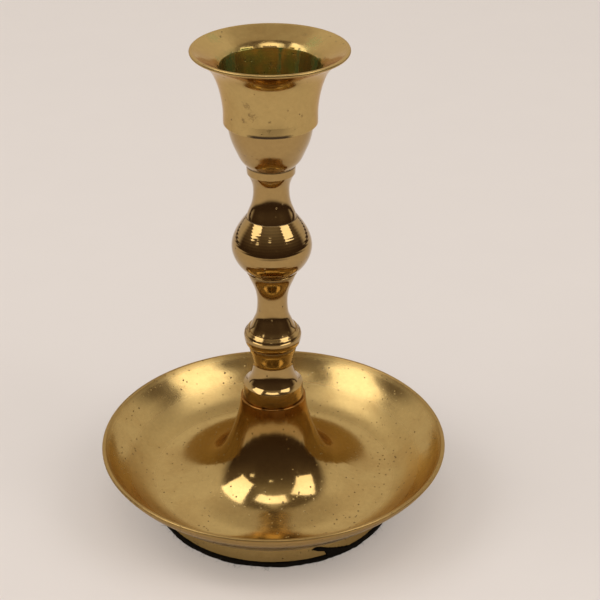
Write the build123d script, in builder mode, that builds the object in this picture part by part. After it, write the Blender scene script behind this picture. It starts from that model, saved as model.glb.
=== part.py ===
"""Turned brass candlestick on a saucer drip pan.

A stack of lathe-turned pieces stands on the boss of a dished pan. A tie rod runs up the middle and pulls the
stack together from a nut in the hollow under the boss, which a felt disc closes.
Millimetres, +Z up, origin at the middle of the felt's resting face.
"""

import os
from math import cos, radians, sin, tan

from build123d import *

os.makedirs("parts", exist_ok=True)

# Fits that several pieces share
FIT_GAP = 0.05  # radial play of a spigot in its recess, and of a screw thread in its tapped hole
END_GAP = 0.2  # play past the end of a spigot
ROD_R = 2.0  # thread radius of the tie rod and of the nozzle screw
ROD_HOLE_GAP = 0.15  # radial play of the rod through the stem pieces
SPIGOT_R = 3.4  # locating spigot under each stem piece
SPIGOT_H = 2.0
EDGE_BREAK = 0.3  # rounding of the turned edges that show
THREAD_PITCH = 0.7
THREAD_DEPTH = 0.4

# Felt disc
FELT_T = 1.5
FELT_PROUD = 0.4  # how far the felt stands out past the foot ring

# Drip pan: foot ring, dished saucer and trumpet boss in one casting
FOOT_R = 34.5
FOOT_WALL = 3.5
PAN_WALL = 1.2
PAN_R = 50.3
PAN_H = 19.7  # top of the lip above the underside of the foot ring
RIM_TILT = 54.0  # slope of the wall at the lip, in degrees
FLOOR_H = 6.95  # lowest ring of the dish above the underside of the foot ring
FLOOR_R = 32.0
BOSS_R = 9.4
BOSS_H = 34.6
BOSS_PLATE = 4.0  # metal left between the spigot's recess and the washer
BOSS_RUN = (0.08, -1)  # direction of the flank at the top of the boss
UNDER_STEP = 4.0  # spacing of the points that the underside runs through
# Shares of the way out from the boss to the lowest ring, and of the drop, from the top down
FLANK_SHARES = (
    (0.032, 0.2025),
    (0.109, 0.419),
    (0.226, 0.637),
    (0.315, 0.745),
    (0.4305, 0.8355),
    (0.572, 0.908),
    (0.7345, 0.962),
    (0.867, 0.989),
)
# Shares of the way out from the lowest ring to the lip, and of the rise
DISH_SHARES = ((0.0, 0.0), (0.174, 0.024), (0.3196, 0.096), (0.465, 0.232), (0.616, 0.424), (0.7845, 0.64))

# Stem foot: a band, a cove above it, and one hollow that flares down to the cove and up to a cup
BAND_R = 8.75
BAND_TOP_R = 8.5
BAND_H = 4.2
COVE_R = 7.25  # upper edge of the cove
COVE_H = 5.2
COVE_RUN = (-0.58, 1)  # direction of the hollow where it leaves the cove
WAIST_R = 5.64
WAIST_H = 11.4
TAPER_R = 6.85
STEM_FOOT_H = 16.8
# Share of the way out from the cove's upper edge to the band, and of the drop
COVE_SHARES = ((0.46, 0.555),)
# Shares of the way out from the waist to the cove, and of the rise from the cove to the waist
FLARE_SHARES = ((0.398, 0.322), (0.1, 0.63))
# Shares of the way out from the waist to the cup's top, and of the rise to it
CUP_SHARES = ((0.273, 0.248), (0.636, 0.556), (0.884, 0.78))

# Ring knop: a bead with fine rings round its upper half, a dome and the lower neck
BEAD_R = 8.1
BEAD_LOW_R = 7.0
BEAD_TOP_R = 6.98
BEAD_WAIST_H = 3.2  # widest ring of the bead above the underside
BEAD_H = 5.4
DOME_R = 6.7
DOME_H = 5.25  # foot of the dome above the underside
LOW_NECK_R = 4.25
LOW_NECK_H = 13.7
LOW_NECK_TOP_R = 6.8
RING_KNOP_H = 23.05
GROOVE_R = 0.22
GROOVE_SHARES = (0.653, 0.811, 0.94)  # places of the fine grooves along the bead, from its foot
# Shares of the way out from the bead's foot to its widest ring, and of the rise to it
BEAD_LOW_SHARES = ((0.45, 0.156), (0.83, 0.484))
# Shares of the way out from the bead's top to its widest ring, and of the rise from it
BEAD_UP_SHARES = ((0.866, 0.41), (0.286, 0.773))
# Shares of the way out from the neck to the dome's foot, and of the rise from there to the neck
DOME_SHARES = ((0.74, 0.1325), (0.46, 0.319), (0.18, 0.509), (0.06, 0.69))
# Shares of the way out from the neck to its top, and of the rise from the neck to the top
LOW_NECK_TOP_SHARES = ((0.24, 0.45), (0.5, 0.64), (0.76, 0.8))

# Ball knop
BALL_R = 11.1
BALL_H = 16.95
BALL_WAIST_H = 7.95  # widest ring above the underside
BALL_NECK_R = 6.85
BALL_FILLET_PROUD = 0.3
BALL_FILLET_H = 0.75
BALL_TOP_R = 6.9
# Shares of the way out from the fillet to the widest ring, and of the rise to it
BALL_LOW_SHARES = ((0.4, 0.194), (0.75, 0.486))
# Shares of the way out from the top to the widest ring, and of the rise from it
BALL_UP_SHARES = ((0.705, 0.52), (0.348, 0.79))

# Upper neck, with the collar that the bowl sits on
NECK_INSET = 0.05  # how far the neck's foot stands back from the edge of the ball's top
NECK_R = 4.92
NECK_WAIST_H = 7.4
COLLAR_R = 6.7
COLLAR_LOW_R = 6.55
COLLAR_H = 2.35
NECK_H = 15.3
# Shares of the way out from the neck to its foot, and of the rise from the foot to the neck
NECK_LOW_SHARES = ((0.65, 0.245), (0.33, 0.455), (0.11, 0.69))
# Shares of the way out from the neck to the collar, and of the rise from the neck to the collar
NECK_UP_SHARES = ((0.15, 0.45), (0.41, 0.67), (0.69, 0.85))

# Bowl under the nozzle
BOWL_PROUD = 0.05  # how far the bowl stands out past the collar
BOWL_R = 11.45
BOWL_H = 11.95
BOWL_LOW_RUN = (0.75, 1)  # direction of the bowl's side at its bottom
BOWL_TOP_RUN = (0.1, 1)  # and at its top
# Shares of the way out from the bottom to the top of the bowl, and of its height
BOWL_SHARES = ((0.262, 0.125), (0.522, 0.324), (0.732, 0.518), (0.88, 0.704), (0.96, 0.858))

# Candle nozzle: a sleeve with a floor, flaring to a wide dished rim
SOCKET_R = 11.25
SOCKET_H = 4.4  # parallel stretch of the socket above its floor
SOCKET_BASE = 0.6  # metal of the socket's floor below the screw's head
MOUTH_FLARE = 1.85  # widening of the socket up to its mouth
MOUTH_WALL = 3.1  # metal between the mouth's edge and the bell outside it
MOUTH_ROUND = 0.45
SLEEVE_WALL = 1.3
SLEEVE_H = 2.85  # parallel stretch of the sleeve outside
NOZZLE_H = 20.25
NOZZLE_RIM_R = 20.9
NOZZLE_LIP = 1.0  # thickness of the lip
NOZZLE_TILT = 30.0  # slope of the rim at the lip, in degrees
# Shares of the way out from the sleeve to the lip, and of the rise
BELL_SHARES = ((0.016, 0.134), (0.108, 0.4), (0.24, 0.607), (0.36, 0.729), (0.552, 0.844), (0.767, 0.935))
# Shares of the way out from the mouth to the lip, and of the rise, from the lip in
DISHED_RIM_SHARES = ((0.771, 0.818), (0.486, 0.573), (0.271, 0.39), (0.129, 0.21))

# Slotted countersunk screw that holds the nozzle on the bowl
SCREW_HEAD_R = 3.8
SCREW_HEAD_ANGLE = 90.0  # degrees
SCREW_L = 8.0
SCREW_END_GAP = 1.1  # between the screw and the tie rod in the bowl
SLOT_W = 1.0
SLOT_D = 0.9

# Nut, washers and free end of the tie rod
NUT_FLATS = 7.0
NUT_H = 3.2
NUT_CHAMFER = 0.45
WASHER_R = 4.5
WASHER_T = 0.8
LOCK_R = 3.8
LOCK_T = 1.0
LOCK_SLIT = 14.0  # degrees
ROD_END = 2.0
ROD_END_CHAMFER = 0.4

# Heights of the seats, from the table up
PAN_Z = FELT_T
FLOOR_Z = PAN_Z + FLOOR_H
RIM_Z = PAN_Z + PAN_H
BOSS_Z = PAN_Z + BOSS_H
RING_KNOP_Z = BOSS_Z + STEM_FOOT_H
BALL_Z = RING_KNOP_Z + RING_KNOP_H
NECK_Z = BALL_Z + BALL_H
BOWL_Z = NECK_Z + NECK_H
NOZZLE_Z = BOWL_Z + BOWL_H
SCREW_HEAD_H = (SCREW_HEAD_R - ROD_R) / tan(radians(SCREW_HEAD_ANGLE / 2))
SOCKET_Z = NOZZLE_Z + SOCKET_BASE + SCREW_HEAD_H
SCREW_Z = SOCKET_Z - SCREW_L
RECESS_D = SPIGOT_H + END_GAP
WASHER_Z = BOSS_Z - RECESS_D - BOSS_PLATE - WASHER_T
LOCK_Z = WASHER_Z - LOCK_T
NUT_Z = LOCK_Z - NUT_H
ROD_Z = NUT_Z - ROD_END
ROD_TOP_Z = SCREW_Z - SCREW_END_GAP
ROD_HOLE_R = ROD_R + ROD_HOLE_GAP
TAPPED_R = ROD_R + FIT_GAP
RECESS_R = SPIGOT_R + FIT_GAP
SEARCH_STEPS = 400


def between(inner, outer, shares):
    """Points of an outline, each at a share of the way from one (radius, height) to another."""
    width = outer[0] - inner[0]
    rise = outer[1] - inner[1]
    return [(inner[0] + width * out, inner[1] + rise * up) for out, up in shares]


def offset_points(curve, distance, spacing):
    """Points beside a curve, to the right of its run, from its end back to its start."""
    count = round(curve.length / spacing)
    shares = [step / count for step in range(count, -1, -1)]
    return [curve @ share + (curve % share).rotate(Axis.Z, -90) * distance for share in shares]


def points_on(curve):
    """Closely spaced points of an outline, from its start."""
    return [curve @ (step / SEARCH_STEPS) for step in range(SEARCH_STEPS + 1)]


def height_at(curve, radius):
    """Height of an outline that runs outwards, where it comes to a radius."""
    return next(point.Y for point in points_on(curve) if point.X >= radius)


def radius_at(curve, height):
    """Radius of an outline that starts downwards, where it first comes to a height."""
    return next(point.X for point in points_on(curve) if point.Y <= height)


def lip_ends(rim_r, rim_z, thickness, degrees):
    """Upper and lower end of a full-round lip on a sloping wall, and the wall's direction there."""
    run = (cos(radians(degrees)), sin(radians(degrees)))
    half = thickness / 2
    upper_end = (rim_r - half - half * run[1], rim_z - half + half * run[0])
    lower_end = (rim_r - half + half * run[1], rim_z - half - half * run[0])
    return upper_end, lower_end, run


def thread_points(radius, low, high):
    """Zigzag outline of a thread, drawn as rings, from its low end to its high end."""
    turns = int((high - low) / THREAD_PITCH)
    points = []
    for turn in range(turns):
        points.append((radius, low + turn * THREAD_PITCH))
        points.append((radius - THREAD_DEPTH, low + turn * THREAD_PITCH + THREAD_PITCH / 2))
    points.append((radius, low + turns * THREAD_PITCH))
    return points


def turned_edge(piece, radius, height):
    """The turned edge of a piece nearest to that radius and height."""
    edges = piece.edges().filter_by(GeomType.CIRCLE)
    return edges.sort_by(lambda edge: abs(edge.radius - radius) + abs(edge.center().Z - height))[0]


# Felt disc
with BuildPart() as base_felt:
    with BuildSketch(Plane.XY):
        Circle(FOOT_R + FELT_PROUD)
    extrude(amount=FELT_T)
base_felt.part.label = "base_felt"
export_step(base_felt.part, "parts/base_felt.step")

# Drip pan
lip_inner, lip_outer, lip_run = lip_ends(PAN_R, RIM_Z, PAN_WALL, RIM_TILT)
flank = between((BOSS_R, BOSS_Z), (FLOOR_R, FLOOR_Z), FLANK_SHARES)
dish = between((FLOOR_R, FLOOR_Z), lip_inner, DISH_SHARES)
hollow_z = WASHER_Z + WASHER_T
half_wall = PAN_WALL / 2
with BuildPart() as drip_pan:
    with BuildSketch(Plane.XZ):
        with BuildLine():
            upper = Spline((BOSS_R, BOSS_Z), *flank, *dish, lip_inner, tangents=(BOSS_RUN, lip_run))
            TangentArc(lip_inner, lip_outer, tangent=lip_run)
            under = Spline(*offset_points(upper, PAN_WALL, UNDER_STEP))
            Line(under @ 1, upper @ 0)
        make_face()
        with BuildLine():
            ring_in = FOOT_R - FOOT_WALL
            Polyline(
                (ring_in, PAN_Z),
                (FOOT_R, PAN_Z),
                (FOOT_R, height_at(upper, FOOT_R) - half_wall),
                (ring_in, height_at(upper, ring_in) - half_wall),
                close=True,
            )
        make_face()
        with BuildLine():
            plug_r = radius_at(upper, hollow_z) - half_wall
            Polyline(
                (0, hollow_z), (plug_r, hollow_z), (BOSS_R - half_wall, BOSS_Z), (0, BOSS_Z), close=True
            )
        make_face()
    revolve(axis=Axis.Z)
    with Locations((0, 0, BOSS_Z)):
        CounterBoreHole(ROD_HOLE_R, RECESS_R, RECESS_D)
    fillet(turned_edge(drip_pan, BOSS_R, BOSS_Z), EDGE_BREAK)
    fillet(turned_edge(drip_pan, FOOT_R, PAN_Z), EDGE_BREAK)
drip_pan.part.label = "drip_pan"
export_step(drip_pan.part, "parts/drip_pan.step")

# Stem foot
band_low = (BAND_R, BOSS_Z)
band_top = (BAND_TOP_R, BOSS_Z + BAND_H)
cove_top = (COVE_R, BOSS_Z + COVE_H)
waist = (WAIST_R, BOSS_Z + WAIST_H)
taper_top = (TAPER_R, RING_KNOP_Z)
flare = between((WAIST_R, cove_top[1]), (COVE_R, waist[1]), FLARE_SHARES)
cup = between(waist, taper_top, CUP_SHARES)
cup_run = (taper_top[0] - cup[-1][0], taper_top[1] - cup[-1][1])
with BuildPart() as stem_foot:
    with BuildSketch(Plane.XZ):
        with BuildLine():
            Polyline((0, RING_KNOP_Z), (0, BOSS_Z), band_low, band_top)
            ThreePointArc(band_top, *between(cove_top, band_top, COVE_SHARES), cove_top)
            Spline(cove_top, *flare, waist, *cup, taper_top, tangents=(COVE_RUN, cup_run))
            Line(taper_top, (0, RING_KNOP_Z))
        make_face()
    revolve(axis=Axis.Z)
    with Locations((0, 0, BOSS_Z)):
        Cylinder(SPIGOT_R, SPIGOT_H, align=(Align.CENTER, Align.CENTER, Align.MAX))
    with Locations((0, 0, RING_KNOP_Z)):
        CounterBoreHole(ROD_HOLE_R, RECESS_R, RECESS_D)
    fillet(turned_edge(stem_foot, *band_low), EDGE_BREAK)
stem_foot.part.label = "stem_foot"
export_step(stem_foot.part, "parts/stem_foot.step")

# Ring knop
bead_foot = (BEAD_LOW_R, RING_KNOP_Z)
bead_widest = (BEAD_R, RING_KNOP_Z + BEAD_WAIST_H)
bead_top = (BEAD_TOP_R, RING_KNOP_Z + BEAD_H)
dome_foot = (DOME_R, RING_KNOP_Z + DOME_H)
low_neck = (LOW_NECK_R, RING_KNOP_Z + LOW_NECK_H)
low_neck_top = (LOW_NECK_TOP_R, BALL_Z)
bead_low = between(bead_foot, bead_widest, BEAD_LOW_SHARES)
bead_up = between((BEAD_TOP_R, bead_widest[1]), (BEAD_R, bead_top[1]), BEAD_UP_SHARES)
dome = between((LOW_NECK_R, dome_foot[1]), (DOME_R, low_neck[1]), DOME_SHARES)
low_rise = between(low_neck, low_neck_top, LOW_NECK_TOP_SHARES)
with BuildPart() as ring_knop:
    with BuildSketch(Plane.XZ):
        with BuildLine():
            Polyline((0, BALL_Z), (0, RING_KNOP_Z), bead_foot)
            bead = Spline(bead_foot, *bead_low, bead_widest, *bead_up, bead_top)
            Line(bead_top, dome_foot)
            Spline(dome_foot, *dome, low_neck, *low_rise, low_neck_top)
            Line(low_neck_top, (0, BALL_Z))
        make_face()
        with Locations(*[bead @ share for share in GROOVE_SHARES]):
            RegularPolygon(GROOVE_R, 4, mode=Mode.SUBTRACT)
    revolve(axis=Axis.Z)
    with Locations((0, 0, RING_KNOP_Z)):
        Cylinder(SPIGOT_R, SPIGOT_H, align=(Align.CENTER, Align.CENTER, Align.MAX))
    with Locations((0, 0, BALL_Z)):
        CounterBoreHole(ROD_HOLE_R, RECESS_R, RECESS_D)
ring_knop.part.label = "ring_knop"
export_step(ring_knop.part, "parts/ring_knop.step")

# Ball knop
ball_start = (BALL_NECK_R, BALL_Z + BALL_FILLET_H)
ball_fillet = (BALL_NECK_R + BALL_FILLET_PROUD, BALL_Z + BALL_FILLET_H / 2)
ball_widest = (BALL_R, BALL_Z + BALL_WAIST_H)
ball_top = (BALL_TOP_R, NECK_Z)
ball_low = between(ball_start, ball_widest, BALL_LOW_SHARES)
ball_up = between((BALL_TOP_R, ball_widest[1]), (BALL_R, NECK_Z), BALL_UP_SHARES)
with BuildPart() as ball_knop:
    with BuildSketch(Plane.XZ):
        with BuildLine():
            Polyline((0, NECK_Z), (0, BALL_Z), (BALL_NECK_R, BALL_Z))
            ThreePointArc((BALL_NECK_R, BALL_Z), ball_fillet, ball_start)
            Spline(ball_start, *ball_low, ball_widest, *ball_up, ball_top)
            Line(ball_top, (0, NECK_Z))
        make_face()
    revolve(axis=Axis.Z)
    with Locations((0, 0, BALL_Z)):
        Cylinder(SPIGOT_R, SPIGOT_H, align=(Align.CENTER, Align.CENTER, Align.MAX))
    with Locations((0, 0, NECK_Z)):
        CounterBoreHole(ROD_HOLE_R, RECESS_R, RECESS_D)
ball_knop.part.label = "ball_knop"
export_step(ball_knop.part, "parts/ball_knop.step")

# Upper neck
neck_foot = (BALL_TOP_R - NECK_INSET, NECK_Z)
neck_waist = (NECK_R, NECK_Z + NECK_WAIST_H)
collar_low = (COLLAR_LOW_R, BOWL_Z - COLLAR_H)
neck_low = between((NECK_R, NECK_Z), (neck_foot[0], neck_waist[1]), NECK_LOW_SHARES)
neck_up = between(neck_waist, collar_low, NECK_UP_SHARES)
with BuildPart() as upper_neck:
    with BuildSketch(Plane.XZ):
        with BuildLine():
            Polyline((0, BOWL_Z), (0, NECK_Z), neck_foot)
            Spline(neck_foot, *neck_low, neck_waist, *neck_up, collar_low)
            Polyline(collar_low, (COLLAR_R, BOWL_Z), (0, BOWL_Z))
        make_face()
    revolve(axis=Axis.Z)
    with Locations((0, 0, NECK_Z)):
        Cylinder(SPIGOT_R, SPIGOT_H, align=(Align.CENTER, Align.CENTER, Align.MAX))
    with Locations((0, 0, BOWL_Z)):
        CounterBoreHole(ROD_HOLE_R, RECESS_R, RECESS_D)
    fillet(turned_edge(upper_neck, COLLAR_R, BOWL_Z), EDGE_BREAK)
upper_neck.part.label = "upper_neck"
export_step(upper_neck.part, "parts/upper_neck.step")

# Bowl under the nozzle
bowl_low = (COLLAR_R + BOWL_PROUD, BOWL_Z)
bowl_top = (BOWL_R, NOZZLE_Z)
with BuildPart() as nozzle_bowl:
    with BuildSketch(Plane.XZ):
        with BuildLine():
            Polyline((0, NOZZLE_Z), (0, BOWL_Z), bowl_low)
            bowl_side = between(bowl_low, bowl_top, BOWL_SHARES)
            Spline(bowl_low, *bowl_side, bowl_top, tangents=(BOWL_LOW_RUN, BOWL_TOP_RUN))
            Line(bowl_top, (0, NOZZLE_Z))
        make_face()
    revolve(axis=Axis.Z)
    with Locations((0, 0, BOWL_Z)):
        Cylinder(SPIGOT_R, SPIGOT_H, align=(Align.CENTER, Align.CENTER, Align.MAX))
    with Locations((0, 0, NOZZLE_Z)):
        Hole(TAPPED_R)
nozzle_bowl.part.label = "nozzle_bowl"
export_step(nozzle_bowl.part, "parts/nozzle_bowl.step")

# Candle nozzle
sleeve_r = SOCKET_R + SLEEVE_WALL
mouth_r = SOCKET_R + MOUTH_FLARE
nozzle_top_z = NOZZLE_Z + NOZZLE_H
sleeve_top = (sleeve_r, NOZZLE_Z + SLEEVE_H)
rim_over, rim_under, rim_run = lip_ends(NOZZLE_RIM_R, nozzle_top_z, NOZZLE_LIP, NOZZLE_TILT)
bell = between(sleeve_top, rim_under, BELL_SHARES)
with BuildPart() as candle_nozzle:
    with BuildSketch(Plane.XZ):
        with BuildLine():
            Polyline((0, SOCKET_Z), (0, NOZZLE_Z), (sleeve_r, NOZZLE_Z), sleeve_top)
            bell_side = Spline(sleeve_top, *bell, rim_under, tangents=((0, 1), rim_run))
            TangentArc(rim_under, rim_over, tangent=rim_run)
            mouth_z = height_at(bell_side, mouth_r + MOUTH_WALL)
            mouth = (mouth_r, mouth_z)
            Spline(rim_over, *between(mouth, rim_over, DISHED_RIM_SHARES), mouth)
            Polyline(mouth, (SOCKET_R, SOCKET_Z + SOCKET_H), (SOCKET_R, SOCKET_Z), (0, SOCKET_Z))
        make_face()
    revolve(axis=Axis.Z)
    with Locations((0, 0, SOCKET_Z)):
        CounterSinkHole(ROD_HOLE_R, SCREW_HEAD_R + FIT_GAP, counter_sink_angle=SCREW_HEAD_ANGLE)
    fillet(turned_edge(candle_nozzle, sleeve_r, NOZZLE_Z), EDGE_BREAK)
    fillet(turned_edge(candle_nozzle, mouth_r, mouth_z), MOUTH_ROUND)
candle_nozzle.part.label = "candle_nozzle"
export_step(candle_nozzle.part, "parts/candle_nozzle.step")

# Slotted screw in the floor of the socket
with BuildPart() as nozzle_screw:
    with BuildSketch(Plane.XZ):
        with BuildLine():
            shank_z = SOCKET_Z - SCREW_HEAD_H
            screw_thread = thread_points(ROD_R, SCREW_Z, shank_z)
            head_edge = (SCREW_HEAD_R, SOCKET_Z)
            Polyline((0, SCREW_Z), *screw_thread, (ROD_R, shank_z), head_edge, (0, SOCKET_Z), close=True)
        make_face()
    revolve(axis=Axis.Z)
    with Locations((0, 0, SOCKET_Z)):
        slot_align = (Align.CENTER, Align.CENTER, Align.MAX)
        Box(SCREW_HEAD_R * 2, SLOT_W, SLOT_D, align=slot_align, mode=Mode.SUBTRACT)
nozzle_screw.part.label = "nozzle_screw"
export_step(nozzle_screw.part, "parts/nozzle_screw.step")

# Tie rod, threaded at both ends
low_thread_top = BOSS_Z - RECESS_D
with BuildPart() as tie_rod:
    with BuildSketch(Plane.XZ):
        with BuildLine():
            Polyline(
                (0, ROD_Z),
                (ROD_R - THREAD_DEPTH, ROD_Z),
                *thread_points(ROD_R, ROD_Z + ROD_END_CHAMFER, low_thread_top),
                *thread_points(ROD_R, BOWL_Z, ROD_TOP_Z - ROD_END_CHAMFER),
                (ROD_R - THREAD_DEPTH, ROD_TOP_Z),
                (0, ROD_TOP_Z),
                close=True,
            )
        make_face()
    revolve(axis=Axis.Z)
tie_rod.part.label = "tie_rod"
export_step(tie_rod.part, "parts/tie_rod.step")

# Washer against the boss
with BuildPart() as plain_washer:
    with BuildSketch(Plane.XY.offset(WASHER_Z)):
        Circle(WASHER_R)
        Circle(ROD_HOLE_R, mode=Mode.SUBTRACT)
    extrude(amount=WASHER_T)
plain_washer.part.label = "plain_washer"
export_step(plain_washer.part, "parts/plain_washer.step")

# Split lock washer
with BuildPart() as lock_washer:
    with BuildSketch(Plane.XZ):
        with BuildLine():
            Polyline(
                (ROD_HOLE_R, LOCK_Z), (LOCK_R, LOCK_Z), (LOCK_R, WASHER_Z), (ROD_HOLE_R, WASHER_Z), close=True
            )
        make_face()
    revolve(axis=Axis.Z, revolution_arc=360 - LOCK_SLIT)
lock_washer.part.label = "lock_washer"
export_step(lock_washer.part, "parts/lock_washer.step")

# Hexagon nut, with its corners turned off at both faces
corner_r = NUT_FLATS / 2 / cos(radians(30))
with BuildPart() as hex_nut:
    with BuildSketch(Plane.XY.offset(NUT_Z)):
        RegularPolygon(NUT_FLATS / 2, 6, major_radius=False)
        Circle(TAPPED_R, mode=Mode.SUBTRACT)
    extrude(amount=NUT_H)
    with BuildSketch(Plane.XZ):
        with BuildLine():
            Polyline(
                (0, NUT_Z),
                (corner_r - NUT_CHAMFER, NUT_Z),
                (corner_r, NUT_Z + NUT_CHAMFER),
                (corner_r, LOCK_Z - NUT_CHAMFER),
                (corner_r - NUT_CHAMFER, LOCK_Z),
                (0, LOCK_Z),
                close=True,
            )
        make_face()
    revolve(axis=Axis.Z, mode=Mode.INTERSECT)
hex_nut.part.label = "hex_nut"
export_step(hex_nut.part, "parts/hex_nut.step")

print("height", round(nozzle_top_z, 2), "pan diameter", PAN_R * 2, "rod length", round(ROD_TOP_Z - ROD_Z, 2))
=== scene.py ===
"""Looks of a turned brass candlestick that stands in its own saucer drip pan.

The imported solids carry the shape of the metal. This script dresses them in aged brass, lays a frayed felt
under the foot ring and sets a pale table with soft light round them.
Metres, +Z up, origin at the middle of the felt's resting face.
"""

import logging
import math
import random
from dataclasses import dataclass
from enum import Enum
from typing import Any, Optional, Union

import bpy
from mathutils import Matrix, Vector, noise


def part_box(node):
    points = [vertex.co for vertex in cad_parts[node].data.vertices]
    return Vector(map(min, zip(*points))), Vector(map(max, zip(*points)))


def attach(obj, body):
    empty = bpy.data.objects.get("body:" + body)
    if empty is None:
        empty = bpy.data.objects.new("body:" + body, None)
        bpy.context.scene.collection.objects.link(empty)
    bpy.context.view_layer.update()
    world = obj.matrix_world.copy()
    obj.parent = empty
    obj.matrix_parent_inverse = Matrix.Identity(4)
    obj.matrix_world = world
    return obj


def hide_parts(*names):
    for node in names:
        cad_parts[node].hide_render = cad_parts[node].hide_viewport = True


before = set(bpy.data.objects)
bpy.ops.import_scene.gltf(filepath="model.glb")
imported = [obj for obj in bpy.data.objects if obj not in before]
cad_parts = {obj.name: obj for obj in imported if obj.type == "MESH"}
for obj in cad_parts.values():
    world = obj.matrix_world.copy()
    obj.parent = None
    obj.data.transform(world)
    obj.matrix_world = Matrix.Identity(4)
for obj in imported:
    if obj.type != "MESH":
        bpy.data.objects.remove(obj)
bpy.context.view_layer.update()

LOG = logging.getLogger("candlestick")
MM = 0.001
TINY = 1e-6
NOISE_MEAN = 0.5
BROWN = (0.13, 0.072, 0.025)
Colour = tuple[float, float, float]
Place = tuple[float, float, float]
Span = tuple[float, float]
Value = Union["Wire", float]
Corners = list[Vector]
Faces = list[tuple[int, ...]]


class Way(Enum):
    """The rays that the table and the world answer in a way of their own, by the output that tells them."""

    CAMERA = "Is Camera Ray"
    GLOSSY = "Is Glossy Ray"


class Wire:
    """A node's output that takes part in shader maths."""

    def __init__(self, shader: "Shader", socket: bpy.types.NodeSocket) -> None:
        """Keeps the socket and the shader that it belongs to."""
        self.shader = shader
        self.socket = socket

    def __add__(self, other: Value) -> "Wire":
        """Sum."""
        return self.shader.maths("ADD", self, other)

    def __radd__(self, other: Value) -> "Wire":
        """Sum, from the right."""
        return self.shader.maths("ADD", other, self)

    def __sub__(self, other: Value) -> "Wire":
        """Difference."""
        return self.shader.maths("SUBTRACT", self, other)

    def __rsub__(self, other: Value) -> "Wire":
        """Difference, from the right."""
        return self.shader.maths("SUBTRACT", other, self)

    def __mul__(self, other: Value) -> "Wire":
        """Product."""
        return self.shader.maths("MULTIPLY", self, other)

    def __rmul__(self, other: Value) -> "Wire":
        """Product, from the right."""
        return self.shader.maths("MULTIPLY", other, self)

    def __truediv__(self, other: Value) -> "Wire":
        """Quotient."""
        return self.shader.maths("DIVIDE", self, other)

    def __rtruediv__(self, other: Value) -> "Wire":
        """Quotient, from the right."""
        return self.shader.maths("DIVIDE", other, self)


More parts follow.
